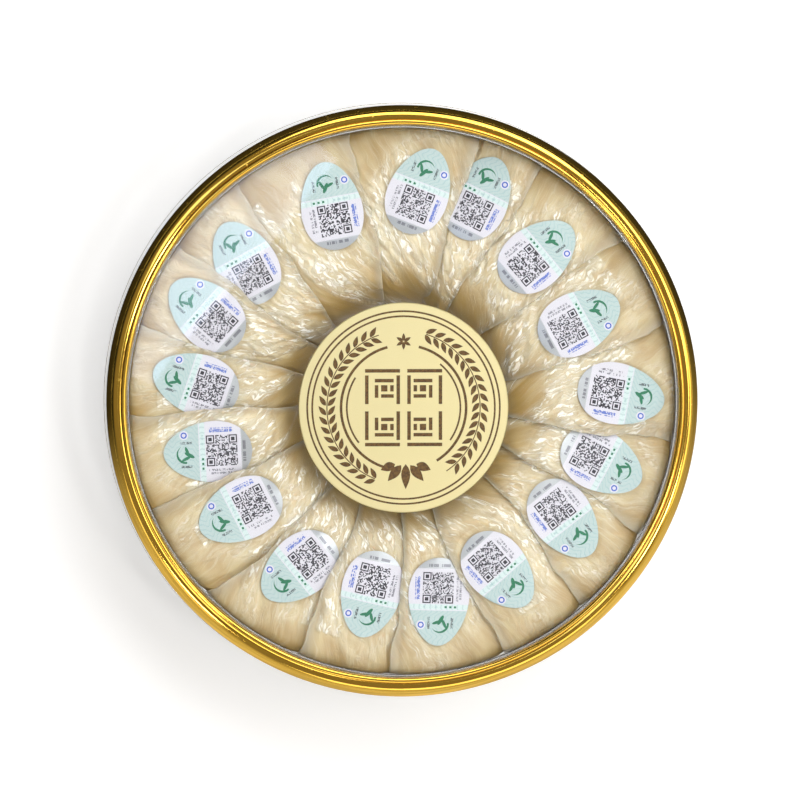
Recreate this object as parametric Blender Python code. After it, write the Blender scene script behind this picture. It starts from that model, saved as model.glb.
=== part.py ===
"""Round gift box of seventeen edible swiftlet nests, fanned like roof tiles under a clear lid.

A clear base dish holds the nests. A clear lid with a gold ring pressed over its shoulder drops
on the dish, and a thin round medallion is stuck on the lid. Each nest is a half cup of dried
strands and carries an egg-shaped paper sticker.

Metres, +Z up, origin at the middle of the base's underside. Bearings are degrees clockwise
from +Y, seen from above, and each nest lies over the next one clockwise.
"""

import math

import bmesh
import bpy

MM = 0.001

# Turned pieces, as radii and heights
TURNED_STEPS = 48
FLANGE_RADIUS = 120.0 * MM
FLANGE_TOP = 37.2 * MM
FLANGE_THICKNESS = 1.8 * MM
DISH_FOOT_RADIUS = 110.0 * MM
DISH_WALL = 2.2 * MM
DISH_WALL_RADIUS = 115.0 * MM
DISH_CORNER = 4.0 * MM
FLANGE_FILLET = 1.0 * MM
SPIGOT_RADIUS = 113.9 * MM
SPIGOT_TOP = 47.0 * MM
RING_RADIUS = 118.5 * MM
RING_WINDOW_RADIUS = 110.6 * MM
RING_TOP = 58.0 * MM
RING_BOTTOM = 37.7 * MM
RING_ROLL_RADIUS = 113.9 * MM
RING_ROLL_DROP = 0.3 * MM
RING_ROLL_HEIGHT = 5.7 * MM
RING_FOOT_BEVEL = (0.8 * MM, 1.2 * MM)
BEAD_RADIUS = 1.15 * MM
LID_TOP = 55.2 * MM
LID_THICKNESS = 1.8 * MM
LID_RIM_HEIGHT = 1.9 * MM
LID_RIM_WIDTH = 1.9 * MM
LID_RIM_ROUND = 0.4 * MM
LID_PLATE_BEVEL = 1.0 * MM
LID_SHOULDER = 54.2 * MM
LID_SKIRT_RADIUS = 116.2 * MM
LID_SKIRT_THICKNESS = 1.9 * MM
TOUCH_GAP = 0.35 * MM

# Medallion on the lid, a little below the middle as it was stuck on
MEDALLION_STEPS = 40
MEDALLION_RADIUS = 42.0 * MM
MEDALLION_THICKNESS = 1.2 * MM
MEDALLION_CHAMFER = 0.3 * MM
MEDALLION_OFFSET = -2.2 * MM

# Half cups, with angles in degrees
CUP_INNER = 33.5 * MM
CUP_OUTER = 110.2 * MM
CUP_HEM = 5.0 * MM
CUP_TOP = 49.6 * MM
CUP_THICKNESS = 2.8 * MM
CUP_MIDDLE = 70.0 * MM
INNER_FULLNESS = 2.6
OUTER_FULLNESS = 6.0
CUP_UNDERCUT = 0.1
LIP_STEP = 6.8 * MM
LIP_CURL = 2.6
TUCK_ANGLE = 12.5
TUCK_CLEARANCE = 5.5
TUCKED_SHORTENING = 6.5 * MM
HEM_SHORTENING = 10.0 * MM
UNCOVERED_FULL_LENGTH = 0.5
LIP_ROUNDING = 1.0 * MM
LIP_ROUNDING_START = 0.7
INNER_END_VARIATION = 0.6 * MM
HEM_WAVE = 3.0 * MM
LUMP_HEIGHT = 0.7 * MM
LUMP_LENGTH = 13.0 * MM
LIP_WAVE = 0.6
LIP_WAVE_LENGTH = 9.0 * MM

# How the waves of a nest differ from those of the nest before it, in radians
LIP_WAVE_SHIFT = 2.4
END_SHIFT = 2.1
LUMP_SHIFT = 1.7
LUMP_CROSS_SHIFT = 0.9
HEM_WAVE_SHIFT = 2.0

# How much the waves turn from a nest's middle to its lip, in radians
LUMP_TURN = 2.8
HEM_WAVE_TURN = 3.0

CUP_ROWS = 8
CUP_COLUMNS = (1.0, 0.75, 0.45, 0.18, -0.1, -0.37, -0.66, -1.0)

# Stickers, with the last rib's angle in degrees
STICKER_LENGTH = 35.4 * MM
STICKER_WIDTH = 24.4 * MM
STICKER_THICKNESS = 0.3 * MM
STICKER_STANDOFF = 0.65 * MM
PAPER_BRIDGE = 1.5 * MM
STICKER_TAPER = 0.16
STICKER_RIBS = 6
STICKER_LAST_RIB = 75.0
STICKER_STATIONS = 4

# One row for each nest: bearing of the free lip 80 mm out, how far the lip turns from the inner
# to the outer end, bearing of the sticker's middle and how many millimetres out it is, and the
# sticker's turn from radial
NESTS = (
    (-10.0, -2.0, -20.1, 83.4, 9.6),
    (15.3, 2.0, 4.5, 84.6, 16.6),
    (29.8, 5.0, 20.5, 87.0, 6.1),
    (52.4, 3.5, 42.8, 79.8, 7.2),
    (76.0, -6.0, 65.8, 78.0, -4.1),
    (99.0, 0.0, 88.3, 88.0, 12.8),
    (116.8, 6.0, 107.0, 84.0, 11.3),
    (135.9, 8.0, 126.2, 80.8, 16.4),
    (160.9, -8.0, 150.4, 78.6, -11.8),
    (180.6, 4.0, 169.8, 82.0, 12.3),
    (202.4, 1.5, 189.4, 78.6, 4.7),
    (222.4, 7.0, 212.0, 78.8, 19.0),
    (246.8, 0.0, 236.1, 78.6, 7.3),
    (267.0, 0.0, 255.6, 80.6, 11.8),
    (285.0, 1.0, 275.0, 83.2, 14.0),
    (303.6, 3.0, 294.2, 86.4, 18.0),
    (321.4, 4.0, 311.4, 84.2, 20.0),
)
LIP_RADIUS = 80.0 * MM

CLEAR_PLASTIC = ("clear_plastic", (0.90, 0.93, 0.92), 0.05, 0.0)
GOLD_PLATING = ("gold_plating", (0.83, 0.60, 0.13), 0.12, 1.0)
SATIN_GOLD = ("satin_gold", (0.87, 0.79, 0.50), 0.35, 1.0)
DRIED_STRANDS = ("dried_strands", (0.80, 0.70, 0.50), 0.45, 0.0)
STICKER_PAPER = ("sticker_paper", (0.84, 0.88, 0.89), 0.50, 0.0)


def clear_scene():
    for item in list(bpy.data.objects):
        bpy.data.objects.remove(item, do_unlink=True)


def make_material(finish):
    name, colour, roughness, metallic = finish
    material = bpy.data.materials.get(name)
    if material is None:
        material = bpy.data.materials.new(name)
        material.use_nodes = True
        shader = material.node_tree.nodes["Principled BSDF"]
        shader.inputs["Base Color"].default_value = (*colour, 1.0)
        shader.inputs["Roughness"].default_value = roughness
        shader.inputs["Metallic"].default_value = metallic
    return material


def add_object(name, mesh, finish, sharp_angle):
    data = bpy.data.meshes.new(name)
    mesh.to_mesh(data)
    mesh.free()
    data.materials.append(make_material(finish))
    data.shade_smooth()
    data.set_sharp_from_angle(angle=math.radians(sharp_angle))
    item = bpy.data.objects.new(name, data)
    bpy.context.scene.collection.objects.link(item)
    return item


def arc(middle_r, middle_z, radius_r, radius_z, start, end, steps):
    """Points on an elliptic arc in the turning plane, angles in degrees from +R towards +Z."""
    points = []
    for step in range(steps + 1):
        angle = math.radians(start + (end - start) * step / steps)
        points.append((middle_r + radius_r * math.cos(angle), middle_z + radius_z * math.sin(angle)))
    return points


def turned(name, outline, finish, steps=TURNED_STEPS):
    """Turn an outline of radii and heights once round +Z. It closes on the axis or on itself."""
    mesh = bmesh.new()
    corners = [mesh.verts.new((radius, 0.0, height)) for radius, height in outline]
    edges = [mesh.edges.new(pair) for pair in zip(corners, corners[1:])]
    if outline[0][0] > 0.0:
        edges.append(mesh.edges.new((corners[-1], corners[0])))
    bmesh.ops.spin(
        mesh,
        geom=corners + edges,
        cent=(0.0, 0.0, 0.0),
        axis=(0.0, 0.0, 1.0),
        angle=math.tau,
        steps=steps,
        use_merge=True,
    )
    bmesh.ops.remove_doubles(mesh, verts=mesh.verts, dist=0.001 * MM)
    bmesh.ops.recalc_face_normals(mesh, faces=mesh.faces)
    return add_object(name, mesh, finish, sharp_angle=35.0)


def make_base_dish():
    """Clear dish: flat floor, tapered wall, a flange that carries the lid, and a spigot above it."""
    inner_foot = DISH_FOOT_RADIUS - DISH_WALL
    inner_wall = SPIGOT_RADIUS - DISH_WALL
    flange_bottom = FLANGE_TOP - FLANGE_THICKNESS
    outline = [(0.0, 0.0)]
    outline += arc(DISH_FOOT_RADIUS, DISH_CORNER, DISH_CORNER, DISH_CORNER, -90.0, 0.0, 3)
    outline += [
        (DISH_WALL_RADIUS, flange_bottom - FLANGE_FILLET),
        (DISH_WALL_RADIUS + FLANGE_FILLET, flange_bottom),
        (FLANGE_RADIUS, flange_bottom),
        (FLANGE_RADIUS, FLANGE_TOP),
        (SPIGOT_RADIUS, FLANGE_TOP),
        (SPIGOT_RADIUS, SPIGOT_TOP),
        (inner_wall, SPIGOT_TOP),
    ]
    outline += arc(inner_foot, DISH_CORNER + DISH_WALL, DISH_CORNER, DISH_CORNER, 0.0, -90.0, 2)
    outline += [(0.0, DISH_WALL)]
    return turned("base_dish", outline, CLEAR_PLASTIC)


def make_gold_ring():
    """Plated ring of angle section: a bead round the window, a groove, then one broad roll."""
    bead_middle = RING_WINDOW_RADIUS + BEAD_RADIUS
    roll_middle = RING_TOP - RING_ROLL_DROP - RING_ROLL_HEIGHT
    roll_width = RING_RADIUS - RING_ROLL_RADIUS
    foot_width, foot_height = RING_FOOT_BEVEL
    shelf = LID_SHOULDER + TOUCH_GAP
    bore = LID_SKIRT_RADIUS + TOUCH_GAP
    outline = [(RING_WINDOW_RADIUS, shelf)]
    outline += arc(bead_middle, RING_TOP - BEAD_RADIUS, BEAD_RADIUS, BEAD_RADIUS, 180.0, 45.0, 3)
    outline += arc(RING_ROLL_RADIUS, roll_middle, roll_width, RING_ROLL_HEIGHT, 98.0, 0.0, 5)
    outline += [
        (RING_RADIUS, RING_BOTTOM + foot_height),
        (RING_RADIUS - foot_width, RING_BOTTOM),
        (bore, RING_BOTTOM),
        (bore, shelf),
    ]
    return turned("gold_ring", outline, GOLD_PLATING)


def make_clear_lid():
    """Clear lid: thin flat plate, a raised rim inside the ring's window, a shoulder and a skirt."""
    rim_outer = RING_WINDOW_RADIUS - TOUCH_GAP
    rim_inner = rim_outer - LID_RIM_WIDTH
    rim_top = LID_TOP + LID_RIM_HEIGHT
    skirt_inner = LID_SKIRT_RADIUS - LID_SKIRT_THICKNESS
    underside = LID_TOP - LID_THICKNESS
    shoulder_underside = LID_SHOULDER - LID_SKIRT_THICKNESS
    outline = [
        (0.0, LID_TOP),
        (rim_inner, LID_TOP),
        (rim_inner + LID_RIM_ROUND, rim_top),
        (rim_outer - LID_RIM_ROUND, rim_top),
        (rim_outer, rim_top - LID_RIM_ROUND),
        (rim_outer, LID_SHOULDER),
        (LID_SKIRT_RADIUS, LID_SHOULDER),
        (LID_SKIRT_RADIUS, RING_BOTTOM),
        (skirt_inner, RING_BOTTOM),
        (skirt_inner, shoulder_underside),
        (rim_inner, shoulder_underside),
        (rim_inner - LID_PLATE_BEVEL, underside),
        (0.0, underside),
    ]
    return turned("clear_lid", outline, CLEAR_PLASTIC)


def make_medallion():
    """Thin satin disc with a small chamfer, standing a touching gap off the lid."""
    bottom = LID_TOP + TOUCH_GAP
    top = bottom + MEDALLION_THICKNESS
    outline = [
        (0.0, top),
        (MEDALLION_RADIUS - MEDALLION_CHAMFER, top),
        (MEDALLION_RADIUS, top - MEDALLION_CHAMFER),
        (MEDALLION_RADIUS, bottom),
        (0.0, bottom),
    ]
    medallion = turned("medallion", outline, SATIN_GOLD, MEDALLION_STEPS)
    medallion.location.y = MEDALLION_OFFSET
    return medallion


def lip_bearing(index, radius):
    """Bearing of a nest's free lip at a radius: a leaning line with a slight wave."""
    turns, place = divmod(index, len(NESTS))
    bearing, lean = NESTS[place][:2]
    lean_share = (radius - LIP_RADIUS) / (CUP_OUTER - CUP_INNER)
    wave = LIP_WAVE * math.sin(radius / LIP_WAVE_LENGTH + LIP_WAVE_SHIFT * place)
    return bearing + 360.0 * turns + lean * lean_share + wave


def tuck_width(index, radius):
    """How many degrees of a nest are tucked in under the nest before it."""
    room = lip_bearing(index - 1, radius) - lip_bearing(index - 2, radius)
    return min(TUCK_ANGLE, room - TUCK_CLEARANCE)


def shortening(across):
    """How much shorter each end is. The tucked side is short, so that it fits inside its neighbour."""
    bare = max(0.0, min(1.0, across / UNCOVERED_FULL_LENGTH))
    tucked = max(0.0, -across)
    corner = max(0.0, across - LIP_ROUNDING_START) / (1.0 - LIP_ROUNDING_START)
    covered = TUCKED_SHORTENING * (1.0 - bare * bare * (3.0 - 2.0 * bare))
    return covered + HEM_SHORTENING * tucked * tucked + LIP_ROUNDING * corner * corner


def end_shape(index, across, outwards):
    """Signed reach of one end from the middle radius, and how full its arch is."""
    if outwards:
        return CUP_OUTER - CUP_MIDDLE - shortening(across), OUTER_FULLNESS
    inner_end = CUP_INNER + INNER_END_VARIATION * math.sin(END_SHIFT * index)
    return inner_end - CUP_MIDDLE + shortening(across), INNER_FULLNESS


def crest_height(index, across, radius):
    """Height over the hem at mid length.

    across is 1 at the lip, 0 under the neighbour's lip and -1 at the tucked hem.
    """
    span = lip_bearing(index, radius) - lip_bearing(index - 1, radius)
    covered = CUP_TOP - LIP_STEP
    if across >= 0.0:
        height = covered + LIP_STEP * across * (LIP_CURL - (LIP_CURL - 1.0) * across)
    else:
        turn = math.radians(-90.0 * across)
        slope = LIP_STEP * LIP_CURL / span * tuck_width(index, radius)
        drop = covered - slope - CUP_HEM
        height = covered - slope * math.sin(turn) - drop * (1.0 - math.cos(turn))
    along_wave = math.sin(radius / LUMP_LENGTH + LUMP_SHIFT * index)
    across_wave = math.sin(LUMP_TURN * across + LUMP_CROSS_SHIFT * index)
    lumps = LUMP_HEIGHT * along_wave * across_wave * min(1.0, 1.0 + across)
    return height - CUP_HEM + lumps


def cup_bearing(index, across, radius):
    start = lip_bearing(index - 1, radius)
    if across >= 0.0:
        return start + across * (lip_bearing(index, radius) - start)
    return start - tuck_width(index, radius) * math.sin(math.radians(-90.0 * across))


def on_plan(bearing, radius, height):
    angle = math.radians(bearing)
    return (radius * math.sin(angle), radius * math.cos(angle), height)


def make_nest(index):
    """Half cup of dried strands: a domed sheet open on its clockwise side, thickened inwards.

    The two corners of the tucked side are cut off, so that the thick sheet has room to turn there.
    """
    mesh = bmesh.new()
    grid = []
    for across in CUP_COLUMNS:
        column = []
        for row in range(CUP_ROWS):
            turn = math.pi * row / (CUP_ROWS - 1)
            reach, fullness = end_shape(index, across, row >= CUP_ROWS / 2)
            rise = max(0.0, math.sin(turn)) ** (2.0 / fullness)
            share = abs(math.cos(turn)) ** (2.0 / fullness) * (1.0 - CUP_UNDERCUT * (1.0 - rise) ** 2)
            radius = CUP_MIDDLE + reach * share
            height = CUP_HEM + crest_height(index, across, radius) * rise
            hem_phase = HEM_WAVE_TURN * across + HEM_WAVE_SHIFT * index + row
            height += HEM_WAVE * (1.0 - rise) * (0.5 + 0.5 * math.sin(hem_phase))
            bearing = cup_bearing(index, across, radius)
            column.append(mesh.verts.new(on_plan(bearing, radius, height)))
        grid.append(column)
    cut_corners = (grid[-1][0], grid[-1][-1])
    for left, right in zip(grid, grid[1:]):
        for row in range(CUP_ROWS - 1):
            corners = (left[row], left[row + 1], right[row + 1], right[row])
            mesh.faces.new([corner for corner in corners if corner not in cut_corners])
    for corner in cut_corners:
        mesh.verts.remove(corner)
    nest = add_object(f"nest_{index + 1:02d}", mesh, DRIED_STRANDS, sharp_angle=60.0)
    shell = nest.modifiers.new("shell", "SOLIDIFY")
    shell.thickness = CUP_THICKNESS
    shell.offset = -1.0
    return nest


def cup_surface(index, bearing, radius):
    """Height of a nest's outer face at a bearing and a radius."""
    start = lip_bearing(index - 1, radius)
    if bearing >= start:
        across = (bearing - start) / (lip_bearing(index, radius) - start)
    else:
        across = -math.degrees(math.asin((start - bearing) / tuck_width(index, radius))) / 90.0
    reach, fullness = end_shape(index, across, radius > CUP_MIDDLE)
    share = (radius - CUP_MIDDLE) / reach
    rise = (1.0 - share ** fullness) ** (1.0 / fullness)
    return CUP_HEM + crest_height(index, across, radius) * rise


def bridged_height(index, bearing, x, y):
    """Height of stiff paper lying on a nest: the highest of the face a little way round the point."""
    highest = 0.0
    for step in range(8):
        angle = math.tau * step / 8
        near_x = x + PAPER_BRIDGE * math.cos(angle)
        near_y = y + PAPER_BRIDGE * math.sin(angle)
        near_bearing = math.degrees(math.atan2(near_x, near_y))
        while near_bearing < bearing - 180.0:
            near_bearing += 360.0
        highest = max(highest, cup_surface(index, near_bearing, math.hypot(near_x, near_y)))
    return highest


def make_sticker(index):
    """Egg-shaped paper sticker draped over its nest, its narrow end outwards."""
    bearing, millimetres_out, turn = NESTS[index][2:]
    centre = on_plan(bearing, millimetres_out * MM, 0.0)
    heading = math.radians(bearing + turn)
    mesh = bmesh.new()
    layers = []
    for lift in (STICKER_STANDOFF, STICKER_STANDOFF + STICKER_THICKNESS):
        layer = []
        for rib in range(STICKER_RIBS):
            rib_angle = STICKER_LAST_RIB * (2.0 * rib / (STICKER_RIBS - 1) - 1.0)
            side = math.sin(math.radians(rib_angle))
            for station in range(STICKER_STATIONS):
                end = -1.0 + 2.0 * station / (STICKER_STATIONS - 1)
                along = end * math.sqrt(1.0 - side * side)
                width = side * (1.0 - STICKER_TAPER * along)
                forward = along * STICKER_LENGTH / 2.0
                right = width * STICKER_WIDTH / 2.0
                x = centre[0] + forward * math.sin(heading) + right * math.cos(heading)
                y = centre[1] + forward * math.cos(heading) - right * math.sin(heading)
                height = bridged_height(index, bearing, x, y)
                layer.append(mesh.verts.new((x, y, height + lift)))
        layers.append(layer)
    under, over = layers
    last = STICKER_STATIONS - 1
    for rib in range(STICKER_RIBS - 1):
        for station in range(last):
            low = rib * STICKER_STATIONS + station
            next_rib = low + STICKER_STATIONS
            for ring in ((low, low + 1, next_rib + 1), (low, next_rib + 1, next_rib)):
                mesh.faces.new([over[corner] for corner in ring])
                mesh.faces.new([under[corner] for corner in reversed(ring)])
    outline = [rib * STICKER_STATIONS for rib in range(STICKER_RIBS)]
    far_side = (STICKER_RIBS - 1) * STICKER_STATIONS
    outline += [far_side + station for station in range(1, last)]
    outline += [rib * STICKER_STATIONS + last for rib in reversed(range(STICKER_RIBS))]
    outline += [station for station in reversed(range(1, last))]
    for here, there in zip(outline, outline[1:] + outline[:1]):
        mesh.faces.new((under[here], under[there], over[there], over[here]))
    bmesh.ops.recalc_face_normals(mesh, faces=mesh.faces)
    return add_object(f"label_{index + 1:02d}", mesh, STICKER_PAPER, sharp_angle=50.0)


clear_scene()
make_base_dish()
make_gold_ring()
make_clear_lid()
make_medallion()
for nest_index in range(len(NESTS)):
    make_nest(nest_index)
    make_sticker(nest_index)
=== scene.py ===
"""Looks of a round gift box of seventeen edible swiftlet nests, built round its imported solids."""

import math

import bmesh
import bpy
import numpy as np
from mathutils import Matrix, Vector, geometry


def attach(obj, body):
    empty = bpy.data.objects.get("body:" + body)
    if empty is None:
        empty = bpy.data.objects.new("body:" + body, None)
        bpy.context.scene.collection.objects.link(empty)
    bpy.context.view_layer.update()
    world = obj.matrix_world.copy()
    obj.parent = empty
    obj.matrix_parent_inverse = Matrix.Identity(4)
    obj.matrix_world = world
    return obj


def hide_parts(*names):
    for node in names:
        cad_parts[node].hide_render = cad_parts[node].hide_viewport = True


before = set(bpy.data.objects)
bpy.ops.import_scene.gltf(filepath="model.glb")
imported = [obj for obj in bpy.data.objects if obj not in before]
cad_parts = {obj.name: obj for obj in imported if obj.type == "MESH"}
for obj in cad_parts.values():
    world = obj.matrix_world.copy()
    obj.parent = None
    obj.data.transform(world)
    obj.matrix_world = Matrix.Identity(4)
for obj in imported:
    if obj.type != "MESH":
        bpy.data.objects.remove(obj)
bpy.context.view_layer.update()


# The picture: the box lies on a pale studio floor and is seen almost straight from above, under soft
# lights that stand high around it. A card that only mirrors and clear plastic see lies round the
# box, black towards the upper left and pale elsewhere, and gives the gold ring its dark edge.
MM = 0.001
CAMERA_DISTANCE = 1.5
CAMERA_LEAN = math.radians(4.0)
CAMERA_SIDE = Vector((-0.77, 0.64, 0.0)).normalized()
CAMERA_TARGET = Vector((-0.4 * MM, 0.0, 37.2 * MM))
FRAME_WIDTH = 323.7 * MM
SENSOR_WIDTH = 36.0
UPRIGHT = Vector((0.0, 1.0, 0.0))

camera_data = bpy.data.cameras.new("camera")
camera_data.sensor_width = SENSOR_WIDTH
camera_data.lens = SENSOR_WIDTH * CAMERA_DISTANCE / FRAME_WIDTH
camera = bpy.data.objects.new("camera", camera_data)
bpy.context.scene.collection.objects.link(camera)
bpy.context.scene.camera = camera
back = CAMERA_SIDE * math.sin(CAMERA_LEAN) + Vector((0.0, 0.0, math.cos(CAMERA_LEAN)))
right = UPRIGHT.cross(back).normalized()
turn = Matrix((right, back.cross(right), back)).transposed().to_4x4()
camera.matrix_world = Matrix.Translation(CAMERA_TARGET + back * CAMERA_DISTANCE) @ turn
bpy.context.scene.view_settings.view_transform = "Standard"

# Radiance of the room low down, towards the lower right and towards the upper left, and high up
ROOM_BRIGHT = (0.62, 0.61, 0.58)
ROOM_DARK = (0.03, 0.035, 0.035)
ROOM_HIGH = (0.25, 0.225, 0.185)
DARK_SIDE = 335.0
# How far towards the dark side, and how high, each of the room's tones gives way to the next
SIDE_FADE = (-0.15, 0.35)
HIGH_FADE = (0.25, 0.8)
# Name, bearing from +Y, distance out, height, width, depth, radiance
LIGHTS = (
    ("window", 309.0, 0.51, 1.85, 0.27, 0.95, 2.4),
    ("high back", 56.0, 0.95, 1.70, 1.2, 0.80, 3.1),
    ("back", 12.0, 1.15, 1.15, 1.3, 1.00, 2.8),
    ("right", 95.0, 1.30, 1.10, 0.9, 0.70, 1.5),
    ("front", 165.0, 1.25, 1.10, 1.4, 0.70, 1.5),
    ("left", 232.0, 1.30, 1.20, 0.8, 0.60, 1.1),
    ("right spark", 118.0, 0.75, 1.75, 0.22, 0.22, 20.0),
    ("left spark", 218.0, 0.80, 1.70, 0.20, 0.20, 18.0),
)
WINDOW_COLOUR = (0.60, 0.72, 1.0)
FLOOR_SIZE = 3.0
FLOOR_GLOW = 0.24
FLOOR_WHITE = (0.97, 0.97, 0.97)
FLOOR_GREY = (0.94, 0.94, 0.94)
CARD_HEIGHT = 2.0
CARD_STEPS = 60
CARD_INNER = 0.121
CARD_OUTER = 1.2
CARD_PALE = (0.82, 0.82, 0.82)
CARD_BLACK = (0.01, 0.01, 0.01)
# Bearings between which the card fades from one tone to the other, right and left of the box
CARD_FADES = ((72.0, 136.0), (-128.0, -92.0))


def on_plan(bearing, radius, height):
    angle = math.radians(bearing)
    return Vector((radius * math.sin(angle), radius * math.cos(angle), height))


for name, bearing, out, height, width, depth, radiance in LIGHTS:
    data = bpy.data.lights.new(name, "AREA")
    data.shape = "RECTANGLE"
    data.size = width
    data.size_y = depth
    data.energy = radiance * math.pi * width * depth
    if name == "window":
        data.color = WINDOW_COLOUR
    lamp = bpy.data.objects.new(name, data)
    lamp.location = on_plan(bearing, out, height)
    lamp.rotation_euler = lamp.location.to_track_quat("Z", "Y").to_euler()
    bpy.context.scene.collection.objects.link(lamp)


class Term:
    """A node's output. Arithmetic on terms and numbers adds Math nodes to the same graph."""

    def __init__(self, graph, socket):
        self.graph = graph
        self.socket = socket

    def math(self, operation, *values):
        return self.graph.add("Math", {"operation": operation}, dict(enumerate(values)))

    def __add__(self, other):
        return self.math("ADD", self, other)

    def __mul__(self, other):
        return self.math("MULTIPLY", self, other)

    def __sub__(self, other):
        return self.math("SUBTRACT", self, other)

    def __rsub__(self, other):
        return self.math("SUBTRACT", other, self)

    def __truediv__(self, other):
        return self.math("DIVIDE", self, other)

    def __lt__(self, other):
        return self.math("LESS_THAN", self, other)

    def __gt__(self, other):
        return self.math("GREATER_THAN", self, other)

    def __abs__(self):
        return self.math("ABSOLUTE", self)

    __radd__ = __add__
    __rmul__ = __mul__

    def floor(self):
        return self.math("FLOOR", self)

    def within_one(self):
        return self - self.floor()

    def wave(self):
        return self.math("SINE", self)

    def either(self, other):
        return self.math("MAXIMUM", self, other)

    def rising(self, low, high):
        """0 up to low, 1 from high on, with a smooth step between."""
        settings = {"interpolation_type": "SMOOTHSTEP"}
        return self.graph.add("MapRange", settings, {"Value": self, "From Min": low, "From Max": high})


class Graph:
    """The nodes of one material or of the room. Every node of it comes from add."""

    def __init__(self, tree):
        self.tree = tree

    def add(self, kind, settings, sockets, output=0):
        node = self.tree.nodes.new("ShaderNode" + kind)
        for setting, value in settings.items():
            setattr(node, setting, value)
        for socket, value in sockets.items():
            self.feed(node.inputs[socket], value)
        return Term(self, node.outputs[output])

    def feed(self, socket, value):
        if isinstance(value, Term):
            self.tree.links.new(value.socket, socket)
        elif isinstance(value, tuple) and len(value) == 3 and socket.type == "RGBA":
            socket.default_value = (*value, 1.0)
        else:
            socket.default_value = value

    def mix(self, factor, first, second):
        return self.add("Mix", {"data_type": "RGBA"}, {0: factor, 6: first, 7: second}, output=2)

    def noise(self, place, scale, detail=2.0):
        return self.add("TexNoise", {}, {"Vector": place, "Scale": scale, "Detail": detail})

    def attribute(self, name, output="Fac"):
        return self.add("Attribute", {"attribute_name": name}, {}, output)

    def split(self, vector):
        return [self.add("SeparateXYZ", {}, {"Vector": vector}, axis) for axis in range(3)]

    def join(self, x, y, z=0.0):
        return self.add("CombineXYZ", {}, {"X": x, "Y": y, "Z": z})

    def bump(self, height, distance, strength=1.0):
        return self.add("Bump", {}, {"Height": height, "Distance": distance, "Strength": strength})


class Finish(Graph):
    """A material round one Principled shader."""

    def __init__(self, name, **plain):
        self.material = bpy.data.materials.new(name)
        self.material.use_nodes = True
        super().__init__(self.material.node_tree)
        self.shader = self.tree.nodes["Principled BSDF"]
        for socket, value in plain.items():
            title = socket.replace("_", " ").title().replace("Ior", "IOR")
            self.shader.inputs[title].default_value = value

    def shade(self, **terms):
        for socket, term in terms.items():
            self.feed(self.shader.inputs[socket.replace("_", " ").title()], term)


world = bpy.data.worlds.new("room")
bpy.context.scene.world = world
world.use_nodes = True
room = Graph(world.node_tree)
towards = room.split(room.add("TexCoord", {}, {}, "Generated"))
dark_way = on_plan(DARK_SIDE, 1.0, 0.0)
aside = towards[0] * dark_way.x + towards[1] * dark_way.y
low_tone = room.mix(aside.rising(*SIDE_FADE), ROOM_BRIGHT, ROOM_DARK)
room_tone = room.mix(towards[2].rising(*HIGH_FADE), low_tone, ROOM_HIGH)
room.feed(world.node_tree.nodes["Background"].inputs["Color"], room_tone)


def add_mesh(name, vertices, faces, finish, sharp_angle=40.0):
    """A smooth mesh object from points in metres and faces as rows of point numbers."""
    data = bpy.data.meshes.new(name)
    data.from_pydata([tuple(vertex) for vertex in vertices], [], [tuple(face) for face in faces])
    data.materials.append(finish.material)
    data.shade_smooth()
    data.set_sharp_from_angle(angle=math.radians(sharp_angle))
    piece = bpy.data.objects.new(name, data)
    bpy.context.scene.collection.objects.link(piece)
    return piece


floor_finish = Finish("studio_floor", roughness=0.8, emission_strength=FLOOR_GLOW)
floor_place = floor_finish.add("TexCoord", {}, {}, "Object")
floor_tone = floor_finish.noise(floor_place, 2.0)
floor_paint = floor_finish.mix(floor_tone, FLOOR_WHITE, FLOOR_GREY)
floor_finish.shade(base_color=floor_paint, emission_color=floor_paint)
half = FLOOR_SIZE / 2.0
floor_corners = [(-half, -half, 0.0), (half, -half, 0.0), (half, half, 0.0), (-half, half, 0.0)]
floor = add_mesh("studio_floor", floor_corners, [(0, 1, 2, 3)], floor_finish)

card_finish = Finish("studio_card", roughness=0.9)
card_x, card_y, _ = card_finish.split(card_finish.add("TexCoord", {}, {}, "Object"))
card_turn = card_x.math("ARCTAN2", card_x, card_y)
card_bearing = card_turn.math("DEGREES", card_turn)
card_lit = card_bearing.rising(*CARD_FADES[0]).either(1.0 - card_bearing.rising(*CARD_FADES[1]))
card_patches = card_finish.noise(card_finish.join(card_x * 9.0, card_y * 9.0), 1.0, detail=1.0)
card_tone = card_lit * (0.7 + card_patches.rising(0.35, 0.6) * 0.3)
card_finish.shade(base_color=card_finish.mix(card_tone, CARD_BLACK, CARD_PALE))
card_points = []
for bearing in 360.0 * np.arange(CARD_STEPS) / CARD_STEPS:
    card_points += [on_plan(bearing, out, CARD_HEIGHT * MM) for out in (CARD_INNER, CARD_OUTER)]
card_faces = []
for step in range(CARD_STEPS):
    onward = (step + 1) % CARD_STEPS
    card_faces.append((2 * step, 2 * step + 1, 2 * onward + 1, 2 * onward))
card = add_mesh("studio_card", card_points, card_faces, card_finish)
card.visible_camera = False
card.visible_diffuse = False
card.visible_shadow = False


# Base dish: one clear moulded plastic bowl with a flat floor. Its flange carries the lid, and its
# spigot stands up inside the lid's skirt. It is the thin clear edge seen outside the gold ring.
TURNED_STEPS = 192
FLANGE_RADIUS = 120.0
FLANGE_TOP = 37.2
FLANGE_THICKNESS = 1.8
DISH_FOOT_RADIUS = 110.0
DISH_WALL = 2.2
DISH_WALL_RADIUS = 115.0
DISH_CORNER = 4.0
DISH_WALL_LEAN = 0.5
DISH_WALL_BEND = 6.0
FLANGE_FILLET = 1.0
EDGE_ROUND = 0.4
SPIGOT_RADIUS = 113.9
SPIGOT_TOP = 47.0
SPIGOT_SETBACK = 0.4
CLEAR_COLOUR = (0.985, 0.99, 0.985, 1.0)
CLEAR_IOR = 1.49


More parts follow.
